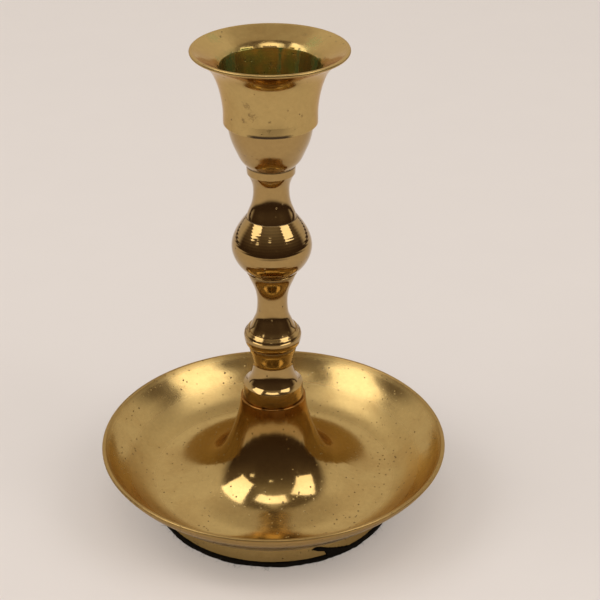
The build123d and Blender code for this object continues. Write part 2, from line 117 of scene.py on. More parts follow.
class Shader:
    """Builds the nodes of one material or of the world."""

    def __init__(self, tree: bpy.types.NodeTree) -> None:
        """Starts with an empty tree."""
        self.tree = tree
        tree.nodes.clear()

    def node(
        self,
        kind: str,
        settings: Optional[dict[str, Any]] = None,
        sockets: Optional[dict[Any, Any]] = None,
    ) -> bpy.types.Node:
        """Adds a node.

        Args:
            kind: The node's type.
            settings: Its settings, which are set first. "stops" are a colour ramp's (place, colour) pairs.
            sockets: Values or wires for its inputs, by name or number.

        Returns:
            The new node.
        """
        made = self.tree.nodes.new(kind)
        for name, setting in (settings or {}).items():
            if name == "stops":
                self._set_stops(made.color_ramp, setting)
            else:
                setattr(made, name, setting)
        for name, given in (sockets or {}).items():
            self._feed(made.inputs[name], given)
        return made

    def _set_stops(self, ramp: bpy.types.ColorRamp, stops: tuple[tuple[float, Colour], ...]) -> None:
        """Gives a colour ramp its stops.

        Args:
            ramp: The colour ramp.
            stops: The place and colour of each stop.
        """
        while len(ramp.elements) < len(stops):
            ramp.elements.new(1.0)
        for element, (place, colour) in zip(ramp.elements, stops):
            element.position = place
            element.color = (*colour, 1.0)

    def _feed(self, socket: bpy.types.NodeSocket, given: Any) -> None:
        """Links a wire to a socket, or sets the socket's own value.

        Args:
            socket: The input.
            given: A wire, another node's output or a plain value.
        """
        if isinstance(given, Wire):
            self.tree.links.new(given.socket, socket)
        elif isinstance(given, bpy.types.NodeSocket):
            self.tree.links.new(given, socket)
        elif socket.type == "RGBA" and len(given) == 3:
            socket.default_value = (*given, 1.0)
        else:
            socket.default_value = given

    def wire(self, node: bpy.types.Node, output: Any = 0) -> Wire:
        """Wraps one of a node's outputs."""
        return Wire(self, node.outputs[output])

    def maths(self, operation: str, first: Value, second: Value = 0.0) -> Wire:
        """Adds a Math node."""
        return self.wire(self.node("ShaderNodeMath", {"operation": operation}, {0: first, 1: second}))

    def place(self) -> Wire:
        """The point's place on the object, in metres."""
        return self.wire(self.node("ShaderNodeTexCoord"), "Object")

    def facing(self) -> tuple[Wire, Wire, Wire]:
        """The three parts of the way that the surface faces."""
        return self.split(self.wire(self.node("ShaderNodeNewGeometry"), "Normal"))

    def split(self, vector: Wire) -> tuple[Wire, Wire, Wire]:
        """The three parts of a vector."""
        parts = self.node("ShaderNodeSeparateXYZ", None, {0: vector})
        return self.wire(parts, 0), self.wire(parts, 1), self.wire(parts, 2)

    def join(self, x: Value, y: Value, z: Value) -> Wire:
        """A vector from its three parts."""
        return self.wire(self.node("ShaderNodeCombineXYZ", None, {0: x, 1: y, 2: z}))

    def stripes(self, along: Wire, scale: float, detail: float = 3.0, rough: float = 0.6) -> Wire:
        """Noise that varies along one number only."""
        sockets = {"W": along, "Scale": scale, "Detail": detail, "Roughness": rough}
        return self.wire(self.node("ShaderNodeTexNoise", {"noise_dimensions": "1D"}, sockets), 0)

    def cells(self, vector: Wire, scale: float) -> tuple[Wire, Wire]:
        """Scattered cells.

        Args:
            vector: The point's place.
            scale: Cells in a metre.

        Returns:
            The distance to the cell's middle, in cells, and a random number for each cell.
        """
        node = self.node("ShaderNodeTexVoronoi", None, {"Vector": vector, "Scale": scale})
        red = self.node("ShaderNodeSeparateColor", None, {0: node.outputs["Color"]})
        return self.wire(node, "Distance"), self.wire(red, 0)

    def ease(self, value: Value, start: Value, end: Value) -> Wire:
        """Rises smoothly from 0 to 1, or falls where the end is below the start.

        Args:
            value: The number to look at.
            start: Where the result is still 0.
            end: Where the result reaches 1.

        Returns:
            The eased number.
        """
        settings = {"interpolation_type": "SMOOTHSTEP"}
        sockets = {"Value": value, "From Min": start, "From Max": end}
        return self.wire(self.node("ShaderNodeMapRange", settings, sockets))

    def blend(self, share: Value, first: Any, second: Any) -> Wire:
        """Mixes two colours, by the node's colour sockets."""
        node = self.node("ShaderNodeMix", {"data_type": "RGBA"}, {0: share, 6: first, 7: second})
        return self.wire(node, 2)

    def tint(self, colour: Any, factor: Wire) -> Wire:
        """Scales a colour by a number."""
        node = self.node("ShaderNodeVectorMath", {"operation": "SCALE"}, {0: colour, "Scale": factor})
        return self.wire(node, 0)

    def bump(self, height: Wire, strength: float, distance: float) -> Wire:
        """A normal from a height in units of distance."""
        sockets = {"Height": height, "Strength": strength, "Distance": distance}
        return self.wire(self.node("ShaderNodeBump", None, sockets))

    def principled(self, sockets: dict[str, Any]) -> None:
        """Adds the surface shader and the material's output."""
        surface = self.node("ShaderNodeBsdfPrincipled", None, sockets)
        self.node("ShaderNodeOutputMaterial", None, {"Surface": surface.outputs[0]})


def new_material(name: str) -> tuple[bpy.types.Material, Shader]:
    """Starts a node material.

    Args:
        name: The material's name.

    Returns:
        The empty material and the shader that builds it.
    """
    material = bpy.data.materials.new(name)
    material.use_nodes = True
    return material, Shader(material.node_tree)


@dataclass(frozen=True)
class Cloud:
    """Cloudy noise, about 0.5 in the middle. A mask of it rises from 0 to 1 over its span."""

    scale: float
    detail: float = 2.0
    rough: float = 0.5
    twist: float = 0.0
    span: Span = (0.0, 1.0)

    def plain(self, sh: Shader, place: Wire) -> Wire:
        """The noise as it is.

        Args:
            sh: The shader to build in.
            place: The point's place.

        Returns:
            The noise.
        """
        sockets = {
            "Vector": place,
            "Scale": self.scale,
            "Detail": self.detail,
            "Roughness": self.rough,
            "Distortion": self.twist,
        }
        return sh.wire(sh.node("ShaderNodeTexNoise", None, sockets), 0)

    def mask(self, sh: Shader, place: Wire) -> Wire:
        """The noise, eased over its span."""
        return sh.ease(self.plain(sh, place), *self.span)


@dataclass(frozen=True)
class Mark:
    """A stain at one place on a piece, made of fine grains that thin out from its middle.

    Its reach is in sizes, and its lift is how far the grains close up towards the middle.
    """

    place: Place
    size: float
    colour: Colour = BROWN
    strength: float = 0.7
    grain: float = 0.5 * MM
    reach: float = 1.5
    lift: float = 0.38
    span: Span = (0.66, 0.92)

    def mask(self, sh: Shader, place: Wire) -> Wire:
        """Where the stain is.

        Args:
            sh: The shader to build in.
            place: The point's place.

        Returns:
            A mask, as strong as the mark at its middle.
        """
        node = sh.node("ShaderNodeVectorMath", {"operation": "DISTANCE"}, {0: place, 1: self.place})
        near = sh.ease(sh.wire(node, "Value"), self.size * self.reach, 0.0)
        grains = Cloud(1 / self.grain, detail=3.0, rough=0.65, twist=0.6).plain(sh, place)
        return sh.ease(grains + near * self.lift, *self.span) * self.strength


@dataclass(frozen=True)
class BrassFinish:
    """Polished brass that has aged: turning lines, tarnish, pits, dirt in the seams and a little verdigris.
    It can also carry painted light: a darker orange-brown painted reflection by height, a painted shade
    line under the front of one joint, and painted shade on the faces that look down.

    Sizes, heights and radii are in metres, and shares run from 0 to 1. Each painted reflection is a darker
    tone, standing for the pan's floor mirrored in the metal, with the heights where it starts and is full.
    Each band is a darker tone in the same way, by radius, and each satin is a change of roughness by radius.
    Each streak is a bearing from the back and a half width, both in degrees. A front shade line, socket
    floor, underside shade or ripple that is 0 is left out.
    """

    name: str
    seams: tuple[float, ...] = ()
    gold: Colour = (0.52, 0.342, 0.130)
    tarnish: Colour = (0.40, 0.250, 0.085)
    # dark tone for the pits and joints, also used for the painted shade
    grime_and_shade: Colour = (0.052, 0.029, 0.011)
    verdigris: Colour = (0.075, 0.115, 0.030)
    soot: Colour = (0.32, 0.205, 0.048)
    olive: Colour = (0.22, 0.205, 0.050)
    edge_tint: Colour = (1.0, 1.0, 1.0)
    # painted reflection: darker orange-brown tones by height, standing for the pan's floor mirrored in the
    # metal
    painted_reflections: tuple[tuple[float, float, Colour], ...] = ()
    bands: tuple[tuple[float, float, Colour], ...] = ()
    tone_share: float = 0.85
    roughness: float = 0.16
    satins: tuple[tuple[float, float, float], ...] = ()
    patches: Cloud = Cloud(65.0, 5.0, 0.62, 0.4, (0.42, 0.72))
    tarnish_share: float = 0.5
    mottle: Cloud = Cloud(850.0, 3.0, 0.6)
    mottle_swing: float = 0.26
    cloud_rise: float = 0.03
    dull_rise: float = 0.4
    dull_loss: float = 0.7
    speck_dull: float = 0.5
    swell: Cloud = Cloud(90.0, 2.0, 0.5)
    swell_depth: float = 0.02 * MM
    mark_depth: float = 0.01 * MM
    pit_share: float = 0.2
    pit_pitch: float = 1.6 * MM
    pit_depth: float = 0.05 * MM
    pit_dark: float = 0.25
    pit_mottle: float = 0.8
    pit_crowd: Cloud = Cloud(60.0, 3.0, span=(0.34, 0.66))
    pit_clear: Span = (0.02, 0.25)
    pit_spread: Cloud = Cloud(400.0, 1.0)
    pit_least: float = 0.10
    pit_growth: float = 0.17
    pit_edge: Span = (1.25, 0.5)
    pit_soft: float = 0.02
    ring_pitch: float = 0.35 * MM
    ring_depth: float = 0.0015 * MM
    ring_lean: float = 1.37
    ripple_pitch: float = 1.0 * MM
    ripple_depth: float = 0.0
    seam_width: float = 0.5 * MM
    seam_share: float = 1.0
    seam_cloud: Cloud = Cloud(500.0, 3.0)
    seam_dark: float = 0.45
    seam_uneven: float = 0.9
    # painted shade on the faces that look down
    under_shade_share: float = 0.0
    under_shade_span: Span = (-0.70, -0.83)
    # painted shade: a dark line under the front of one joint
    front_shade_line: float = 0.0
    front_shade_span: Span = (0.86, 0.95)
    front_shade_width: Span = (0.7 * MM, 0.3 * MM)
    socket_floor: float = 0.0
    socket_fade: float = 1.0 * MM
    socket_facing: Span = (-0.6, -0.9)
    soot_cloud: Cloud = Cloud(260.0, 4.0, 0.6, span=(0.36, 0.64))
    soot_dull: float = 0.2
    streaks: tuple[Span, ...] = ()
    streak_cloud: Cloud = Cloud(700.0, 4.0, 0.65)
    streak_pull: float = 0.3
    streak_stray: float = 2.4
    streak_core: float = 0.2
    streak_grain: Cloud = Cloud(1300.0, 4.0, 0.65, span=(0.36, 0.60))
    streak_least: float = 0.3
    streak_dull: float = 0.5
    marks: tuple[Mark, ...] = ()

    def material(self) -> bpy.types.Material:
        """Builds the finish.

        Returns:
            The new material.
        """
        material, sh = new_material(self.name)
        place = sh.place()
        x, y, z = sh.split(place)
        radius = sh.maths("SQRT", x * x + y * y)
        turned = z + radius * self.ring_lean
        patches = self.patches.mask(sh, place)
        mottle = self.mottle.plain(sh, place)
        rings = sh.stripes(turned, 1 / self.ring_pitch)
        pits = self._pits(sh, place)
        # mask of dirt in the joints, plus the painted shade line and the painted shade on downward faces
        seams = self._joints_and_shade(sh, place, radius)
        colour = sh.blend(patches * self.tarnish_share, self.gold, self.tarnish)
        for start, full, tone in self.bands:
            colour = sh.blend(sh.ease(radius, start, full) * self.tone_share, colour, tone)
        # painted reflection by height
        for start, full, tone in self.painted_reflections:
            colour = sh.blend(sh.ease(z, start, full) * self.tone_share, colour, tone)
        colour = sh.tint(colour, 1.0 - self.mottle_swing * NOISE_MEAN + mottle * self.mottle_swing)
        soiled: Value = 0.0
        if self.socket_floor:
            inside, streaks = self._socket(sh, place, radius)
            sooty = sh.blend(self.soot_cloud.mask(sh, place), self.soot, self.olive)
            wall = sh.tint(sh.blend(streaks, sooty, self.verdigris), 1.0 - NOISE_MEAN + rings)
            colour = sh.blend(inside, colour, wall)
            soiled = inside * (self.soot_dull + streaks * self.streak_dull)
        colour = sh.blend(pits * (self.pit_dark + mottle * self.pit_mottle), colour, self.grime_and_shade)
        # dirt in the joints, with the painted shade line and the painted shade on downward faces
        colour = sh.blend(seams, colour, self.grime_and_shade)
        stained: Value = 0.0
        for mark in self.marks:
            spread = mark.mask(sh, place)
            colour = sh.blend(spread, colour, mark.colour)
            stained = spread + stained
        specks = pits * self.speck_dull + stained * self.speck_dull
        dull = sh.maths("MINIMUM", seams + specks + soiled, 1.0)
        rough = self.roughness + patches * self.cloud_rise + mottle * self.cloud_rise + dull * self.dull_rise
        for start, full, rise in self.satins:
            rough = rough + rise * sh.ease(radius, start, full)
        height = rings * (self.ring_depth / MM) + self.swell.plain(sh, place) * (self.swell_depth / MM)
        if self.ripple_depth:
            ripple = sh.maths("SINE", turned * (2 * math.pi / self.ripple_pitch))
            height = height + ripple * (self.ripple_depth / MM)
        height = height - pits * (self.pit_depth / MM) - stained * (self.mark_depth / MM)
        sh.principled(
            {
                "Base Color": colour,
                "Metallic": 1.0 - dull * self.dull_loss,
                "Roughness": rough,
                "Specular Tint": self.edge_tint,
                "Normal": sh.bump(height, 1.0, MM),
            }
        )
        return material

    def _pits(self, sh: Shader, place: Wire) -> Wire:
        """Small dark pits that gather in places.

        Args:
            sh: The shader to build in.
            place: The point's place.

        Returns:
            A mask, 1 in a pit.
        """
        distance, chance = sh.cells(place, 1 / self.pit_pitch)
        crowd = self.pit_crowd.mask(sh, place)
        chosen = sh.ease(chance, 1.0 - self.pit_share, 1.0 - self.pit_share + self.pit_soft)
        size = self.pit_least + self.pit_growth * crowd * self.pit_spread.plain(sh, place)
        outer, inner = self.pit_edge
        return sh.ease(distance, size * outer, size * inner) * chosen * sh.ease(crowd, *self.pit_clear)

    def _joints_and_shade(self, sh: Shader, place: Wire, radius: Wire) -> Wire:
        """Grime along the joints, a painted shade line at one joint's front, and painted shade on downward
        faces.

        Args:
            sh: The shader to build in.
            place: The point's place.
            radius: The point's distance from the turning axis.

        Returns:
            A mask, 1 in a joint or in painted shade.
        """
        _, y, z = sh.split(place)
        total: Value = 0.0
        for height in self.seams:
            total = total + sh.ease(sh.maths("ABSOLUTE", z - height), self.seam_width, 0.0)
        uneven = self.seam_cloud.plain(sh, place)
        total = total * (self.seam_dark + uneven * self.seam_uneven) * self.seam_share
        # painted shade line under the front of the joint
        if self.front_shade_line:
            front = sh.ease(-1.0 * y / (radius + TINY), *self.front_shade_span)
            line = sh.ease(sh.maths("ABSOLUTE", z - self.front_shade_line), *self.front_shade_width)
            total = total + front * line
        total = sh.maths("MINIMUM", total, 1.0)
        # painted shade on the faces that look down
        if self.under_shade_share:
            _, _, down = sh.facing()
            total = sh.maths("MAXIMUM", total, sh.ease(down, *self.under_shade_span) * self.under_shade_share)
        return total

    def _socket(self, sh: Shader, place: Wire, radius: Wire) -> tuple[Wire, Wire]:
        """Soot and green streaks down the wall of the candle socket.

        Args:
            sh: The shader to build in.
            place: The point's place.
            radius: The point's distance from the turning axis.

        Returns:
            Two masks, 1 on the socket's wall and 1 in a green streak.
        """
        x, y, z = sh.split(place)
        cloud = self.streak_cloud.plain(sh, sh.join(x, y, z * self.streak_pull))
        bearing = sh.maths("ARCTAN2", x, y) * math.degrees(1.0)
        streaks: Value = 0.0
        for middle, half in self.streaks:
            stray = (cloud - NOISE_MEAN) * (half * self.streak_stray)
            away = sh.maths("ABSOLUTE", bearing - middle) + stray
            streaks = sh.maths("MAXIMUM", streaks, sh.ease(away, half, half * self.streak_core))
        grain = (1.0 - self.streak_least) * self.streak_grain.mask(sh, place)
        streaks = streaks * (self.streak_least + grain)
        facing_x, facing_y, _ = sh.facing()
        outward = (facing_x * x + facing_y * y) / (radius + TINY)
        above = sh.ease(z, self.socket_floor - self.socket_fade, self.socket_floor)
        return sh.ease(outward, *self.socket_facing) * above, streaks


@dataclass(frozen=True)
class SteelFinish:
    """Plain zinc-coated steel, dull and a little streaked."""

    name: str
    light: Colour = (0.62, 0.62, 0.60)
    dark: Colour = (0.36, 0.35, 0.33)
    roughness: float = 0.3
    cloud: Cloud = Cloud(240.0, 4.0, 0.6)
    grain: Cloud = Cloud(2400.0, 2.0)
    grain_rise: float = 0.2
    grain_strength: float = 0.15
    grain_depth: float = 0.1 * MM

    def material(self) -> bpy.types.Material:
        """Builds the finish.

        Returns:
            The new material.
        """
        material, sh = new_material(self.name)
        place = sh.place()
        grain = self.grain.plain(sh, place)
        sh.principled(
            {
                "Base Color": sh.blend(self.cloud.plain(sh, place), self.dark, self.light),
                "Metallic": 1.0,
                "Roughness": self.roughness + grain * self.grain_rise,
                "Normal": sh.bump(grain, self.grain_strength, self.grain_depth),
            }
        )
        return material


@dataclass(frozen=True)
class FeltFinish:
    """Dark wool felt, dusty at its edge."""

    name: str
    deep: Colour = (0.004, 0.003, 0.002)
    worn: Colour = (0.016, 0.012, 0.008)
    roughness: float = 0.9
    shine: float = 0.1
    hairs: Cloud = Cloud(2600.0, 4.0, 0.7, 1.5)
    hair_rise: float = 0.1
    hair_strength: float = 0.8
    hair_depth: float = 0.2 * MM
    dust: Cloud = Cloud(220.0, 4.0, 0.6)

    def material(self) -> bpy.types.Material:
        """Builds the finish.

        Returns:
            The new material.
        """
        material, sh = new_material(self.name)
        place = sh.place()
        hairs = self.hairs.plain(sh, place)
        sh.principled(
            {
                "Base Color": sh.blend(hairs * self.dust.plain(sh, place), self.deep, self.worn),
                "Roughness": self.roughness + hairs * self.hair_rise,
                "Specular IOR Level": self.shine,
                "Normal": sh.bump(hairs, self.hair_strength, self.hair_depth),
            }
        )
        return material


def dress(node: str, material: bpy.types.Material) -> None:
    """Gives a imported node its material.

    Args:
        node: The node's name.
        material: The finish.
    """
    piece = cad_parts[node]
    piece.data.materials.clear()
    piece.data.materials.append(material)
    LOG.info("dressed %s in %s", node, material.name)


@dataclass
class Candlestick:
    """The brass stack of pan, stem pieces, bowl and nozzle, and the steel that pulls it together."""

    pale: Colour = (0.505, 0.356, 0.136)
    deep: Colour = (0.41, 0.274, 0.107)
    patina: Colour = (0.33, 0.31, 0.10)
    pan_edge: Colour = (0.94, 0.84, 0.68)
    nozzle_edge: Colour = (0.92, 0.80, 0.66)
    # painted reflection tones for the boss, standing for the pan's floor mirrored in it
    boss_painted_reflection: Colour = (0.35, 0.20, 0.055)
    boss_top_painted_reflection: Colour = (0.27, 0.12, 0.026)
    boss_root: Colour = (0.40, 0.265, 0.093)
    lip_tone: Colour = (0.36, 0.23, 0.08)
    # height of the painted shade line above the nozzle's lowest point
    front_shade_up: float = 0.3 * MM
    socket_floor_up: float = 2.4 * MM

    def dress(self) -> None:
        """Gives each brass piece a finish of its own, and the steel pieces one between them."""
        finishes = {
            "drip_pan": self._pan(),
            **self._stem(),
            "candle_nozzle": self._nozzle(),
            "nozzle_screw": BrassFinish("brass_screw", roughness=0.3, tarnish_share=0.9),
        }
        for node, finish in finishes.items():
            dress(node, finish.material())
        steel = SteelFinish("zinc_steel").material()
        for node in ("tie_rod", "hex_nut", "plain_washer", "lock_washer"):
            dress(node, steel)

    def _pan(self) -> BrassFinish:
        """The pan's finish: pale dish, painted reflection on the boss, dull lip and painted shade underneath.

        Returns:
            The finish.
        """
        return BrassFinish(
            "brass_pan",
            gold=self.pale,
            # painted shade on the pan's downward faces
            under_shade_share=0.95,
            edge_tint=self.pan_edge,
            # painted reflection: darker orange-brown tones up the boss
            painted_reflections=((22.0 * MM, 29.0 * MM, self.boss_painted_reflection), (31.5 * MM, 34.0 * MM, self.boss_top_painted_reflection)),
            bands=((19.0 * MM, 16.0 * MM, self.boss_root), (48.6 * MM, 49.4 * MM, self.lip_tone)),
            roughness=0.08,
            satins=(
                (19.0 * MM, 25.0 * MM, 0.07),
                (34.0 * MM, 37.0 * MM, 0.20),
                (41.0 * MM, 44.5 * MM, -0.18),
                (47.8 * MM, 49.0 * MM, 0.14),
            ),
            pit_share=0.7,
            marks=(
                Mark((-23.6 * MM, -43.5 * MM, 21.2 * MM), 0.7 * MM, BROWN, 0.8),
                Mark((-8.9 * MM, -49.9 * MM, 20.8 * MM), 0.8 * MM, BROWN, 0.9),
            ),
        )

    def _stem(self) -> dict[str, BrassFinish]:
        """The finishes of the stem pieces and the bowl, with grime where they meet.

        Returns:
            Each node's finish.
        """
        low = {
            name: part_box(name)[0].z
            for name in ("stem_foot", "ring_knop", "ball_knop", "upper_neck", "nozzle_bowl", "candle_nozzle")
        }
        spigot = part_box("drip_pan")[1].z - low["stem_foot"]
        ring = low["ring_knop"] + spigot
        ball = low["ball_knop"] + spigot
        neck = low["upper_neck"] + spigot
        bowl = low["nozzle_bowl"] + spigot
        return {
            "stem_foot": BrassFinish("brass_stem_foot", (ring,), gold=self.deep, roughness=0.06),
            "ring_knop": BrassFinish(
                "brass_ring_knop",
                (ring, ball),
                gold=self.deep,
                roughness=0.09,
                marks=(Mark((-0.84 * MM, -4.39 * MM, 69.1 * MM), 0.45 * MM),),
            ),
            "ball_knop": BrassFinish(
                "brass_ball",
                (ball, neck),
                gold=self.deep,
                roughness=0.06,
                ring_lean=-0.45,
                ripple_pitch=0.9 * MM,
                ripple_depth=0.0045 * MM,
                seam_width=0.25 * MM,
            ),
            "upper_neck": BrassFinish("brass_neck", (bowl,), gold=self.deep, roughness=0.08),
            "nozzle_bowl": BrassFinish(
                "brass_bowl", (bowl, low["candle_nozzle"]), gold=self.deep, roughness=0.10, seam_share=0.5
            ),
        }

    def _nozzle(self) -> BrassFinish:
        """The nozzle's finish: sleeve stains, painted shade under its front, patina on the dished rim, socket
        streaks.

        Returns:
            The finish.
        """
        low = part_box("candle_nozzle")[0].z
        return BrassFinish(
            "brass_nozzle",
            gold=self.pale,
            edge_tint=self.nozzle_edge,
            roughness=0.12,
            satins=((19.3 * MM, 20.3 * MM, 0.18),),
            pit_share=0.35,
            # painted shade: a dark line under the front of the sleeve's lower edge
            front_shade_line=low + self.front_shade_up,
            socket_floor=low + self.socket_floor_up,
            streaks=((11.0, 4.0), (35.0, 4.5), (-58.0, 16.0), (66.0, 12.0)),
            marks=(
                Mark((-5.9 * MM, -11.9 * MM, 129.1 * MM), 1.6 * MM, BROWN, 0.45),
                Mark((-4.5 * MM, -12.0 * MM, 126.2 * MM), 1.7 * MM, BROWN, 0.5),
                Mark((-6.8 * MM, -10.6 * MM, 124.8 * MM), 1.2 * MM, BROWN, 0.5),
                Mark((0.1 * MM, -12.7 * MM, 125.1 * MM), 0.6 * MM, BROWN, 0.6),
                Mark((-0.2 * MM, -12.5 * MM, 122.6 * MM), 0.7 * MM, BROWN, 0.6),
                Mark((8.3 * MM, -9.7 * MM, 125.5 * MM), 0.6 * MM, BROWN, 0.45),
                Mark((11.4 * MM, 11.0 * MM, 137.7 * MM), 3.6 * MM, self.patina, 0.75),
                Mark((-13.3 * MM, 12.4 * MM, 139.2 * MM), 0.8 * MM, BROWN, 0.8),
                Mark((-15.2 * MM, 11.0 * MM, 139.4 * MM), 3.0 * MM, self.patina, 0.55),
                Mark((-5.6 * MM, 13.7 * MM, 137.1 * MM), 1.1 * MM, BROWN, 0.45),
                Mark((9.1 * MM, 15.1 * MM, 138.8 * MM), 1.0 * MM, BROWN, 0.4),
                Mark((-13.5 * MM, 2.2 * MM, 136.4 * MM), 1.8 * MM, self.patina, 0.6),
            ),
        )


@dataclass
class BaseFelt:
    """The dark felt glued under the foot ring: a ragged disc, a torn flap up the ring and loose fibres.

    Sizes are in metres. The flap's edges are steps of degrees right of the front and millimetres above the
    glued face. The edge profile is in millimetres out from the cut and shares of the thickness, and the
    fibres' lengths are in millimetres. A layer is a place in the noise, so that no two uses are alike.
    """

    ragged: float = 0.45 * MM
    slow_waves: float = 5.0
    quick_waves: float = 32.0
    quick_layer: Place = (3.0, 1.0, 0.0)
    slow_share: float = 0.45
    spokes: int = 300
    inner_rings: tuple[float, ...] = (0.25, 0.5, 0.75, 0.93)
    edge_profile: tuple[Span, ...] = (
        (-0.25, 0.0), (0.05, 0.16), (0.18, 0.45), (0.10, 0.75), (-0.1, 0.93), (-0.5, 1.0)
    )
    edge_fuzz: float = 0.16
    edge_fuzz_waves: Span = (40.0, 2500.0)
    edge_fuzz_layer: float = 7.0
    glue_margin: float = 0.4 * MM
    flap_upper: tuple[Span, ...] = (
        (18.5, 3.1), (20.0, 3.4), (22.0, 3.5), (25.0, 2.9),
        (29.0, 2.0), (32.0, 1.4), (36.5, 0.5), (41.0, -0.1),
    )
    flap_lower: tuple[Span, ...] = ((18.5, 3.0), (20.0, 2.75), (22.0, 2.2), (25.0, 1.6), (26.5, -0.4))
    flap_columns: int = 72
    flap_rows: int = 10
    flap_thick: float = 0.5 * MM
    flap_least: float = 0.15
    flap_wobble: float = 0.2
    flap_wobble_pitch: float = 1.3
    flap_wobble_layer: float = 2.0
    flap_upper_wobble: float = 1.5
    flap_gap: float = 0.04 * MM
    flap_fuzz: float = 0.07 * MM
    flap_fuzz_waves: Span = (60.0, 7.0)
    flap_fuzz_layer: float = 3.0
    flap_rounding: int = 6
    flap_taper: float = 9.0
    fibres: int = 170
    fibre_radius: float = 0.045 * MM
    fibre_lengths: Span = (0.5, 1.9)
    fibre_heights: Span = (0.15, 0.8)
    fibre_root: float = 0.2 * MM
    fibre_drop: float = 0.08 * MM
    fibre_thinning: float = 0.6
    fibre_steps: int = 4
    fibre_sides: int = 3
    dusty_deep: Colour = (0.03, 0.033, 0.03)
    dusty_worn: Colour = (0.26, 0.27, 0.25)
    seed: int = 11

    def build(self) -> None:
        low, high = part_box("base_felt")
        radius = (high.x - low.x) / 2
        rng = random.Random(self.seed)
        felt = FeltFinish("wool_felt").material()
        dusty = FeltFinish("dusty_fibres", self.dusty_deep, self.dusty_worn).material()
        disc = self._piece("felt_disc", *self._disc(radius, low.z, high.z), felt)
        flap = self._piece("felt_flap", *self._flap(radius, high.z), felt)
        hairs = self._piece("felt_fibres", *self._hairs(radius, high.z, rng), dusty)
        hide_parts("base_felt")

    def _piece(
        self, name: str, points: Corners, faces: Faces, material: bpy.types.Material
    ) -> bpy.types.Object:
        """Puts a mesh on the stage as a piece of the object.

        Args:
            name: The piece's name.
            points: Its corners.
            faces: Its faces, as numbers of corners.
            material: Its finish.

        Returns:
            The new object.
        """
        mesh = bpy.data.meshes.new(name)
        mesh.from_pydata(points, [], faces)
        mesh.materials.append(material)
        for face in mesh.polygons:
            face.use_smooth = True
        piece = bpy.data.objects.new(name, mesh)
        bpy.context.scene.collection.objects.link(piece)
        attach(piece, "root")
        LOG.info("made %s", name)
        return piece

    def _edge(self, angle: float) -> float:
        """How far the cut strays from its circle.

        Args:
            angle: The angle from the front.

        Returns:
            The distance outwards, in metres.
        """
        around = Vector((math.sin(angle), math.cos(angle), 0.0))
        slow = noise.noise(around * self.slow_waves)
        quick = noise.noise(around * self.quick_waves + Vector(self.quick_layer))
        return self.ragged * (self.slow_share * slow + (1.0 - self.slow_share) * quick)

    @staticmethod
    def _from_front(reach: float, angle: float, height: float) -> Vector:
        """The point at a distance from the axis, an angle right of the front and a height."""
        return Vector((reach * math.sin(angle), -reach * math.cos(angle), height))

    def _disc(self, radius: float, low: float, high: float) -> tuple[Corners, Faces]:
        """The ragged disc, soft at its edge.

        Args:
            radius: Its mean radius.
            low: Height of its resting face.
            high: Height of its glued face.

        Returns:
            Corners and faces.
        """
        profile = [(share, None, low) for share in self.inner_rings]
        profile += [(1.0, out, low + (high - low) * up) for out, up in self.edge_profile]
        profile += [(share, None, high) for share in reversed(self.inner_rings)]
        round_waves, high_waves = self.edge_fuzz_waves
        points = [Vector((0.0, 0.0, low))]
        for share, out, height in profile:
            for spoke in range(self.spokes):
                angle = 2 * math.pi * spoke / self.spokes
                reach = radius * share
                if out is not None:
                    there = (angle * round_waves, height * high_waves, self.edge_fuzz_layer)
                    fuzz = noise.noise(Vector(there))
                    reach += self._edge(angle) + (out + self.edge_fuzz * fuzz) * MM
                points.append(self._from_front(reach, angle, height))
        points.append(Vector((0.0, 0.0, high)))
        faces: Faces = []
        last = len(points) - 1
        rings = len(profile)
        top = 1 + (rings - 1) * self.spokes
        for spoke in range(self.spokes):
            after = (spoke + 1) % self.spokes
            faces.append((0, 1 + after, 1 + spoke))
            for ring in range(rings - 1):
                this, above = 1 + ring * self.spokes, 1 + (ring + 1) * self.spokes
                faces.append((this + spoke, this + after, above + after, above + spoke))
            faces.append((top + spoke, top + after, last))
        return points, faces

    def _flap(self, radius: float, high: float) -> tuple[Corners, Faces]:
        """The torn flap that clings to the outside of the foot ring.

        Args:
            radius: The disc's mean radius.
            high: Height of the disc's glued face.

        Returns:
            Corners and faces.
        """
        columns, rows = self.flap_columns, self.flap_rows
        start, stop = self.flap_upper[0][0], self.flap_upper[-1][0]
        round_waves, up_waves = self.flap_fuzz_waves
        foot = radius - self.glue_margin
        points: Corners = []
        for side in (0, 1):
            for column in range(columns + 1):
                along = column / columns
                degrees = start + (stop - start) * along
                lower, upper = self._flap_heights(degrees)
                angle = math.radians(degrees)
                end = min(1.0, self.flap_taper * along, self.flap_taper * (1.0 - along))
                for row in range(rows + 1):
                    up = row / rows
                    rim = 1.0 - (2 * up - 1) ** self.flap_rounding
                    there = (angle * round_waves, up * up_waves, side * self.flap_fuzz_layer)
                    fuzz = noise.noise(Vector(there))
                    out = side * self.flap_thick * rim * end + self.flap_gap + self.flap_fuzz * fuzz * side
                    height = high + (lower + (upper - lower) * up) * MM
                    points.append(self._from_front(foot + out, angle, height))
        faces: Faces = []
        per_side = (columns + 1) * (rows + 1)
        for column in range(columns):
            for row in range(rows):
                a = column * (rows + 1) + row
                b = a + rows + 1
                faces.append((a, a + 1, b + 1, b))
                faces.append((per_side + a, per_side + b, per_side + b + 1, per_side + a + 1))
        return points, faces

    def _flap_heights(self, degrees: float) -> Span:
        """The flap's lower and upper edge.

        Args:
            degrees: The angle right of the front.

        Returns:
            Two heights above the glued face, in millimetres.
        """
        there = Vector((degrees * self.flap_wobble_pitch, self.flap_wobble_layer, 0.0))
        wobble = self.flap_wobble * noise.noise(there)
        lower = self._between(self.flap_lower, degrees) + wobble
        upper = self._between(self.flap_upper, degrees) + wobble * self.flap_upper_wobble
        return lower, max(upper, lower + self.flap_least)

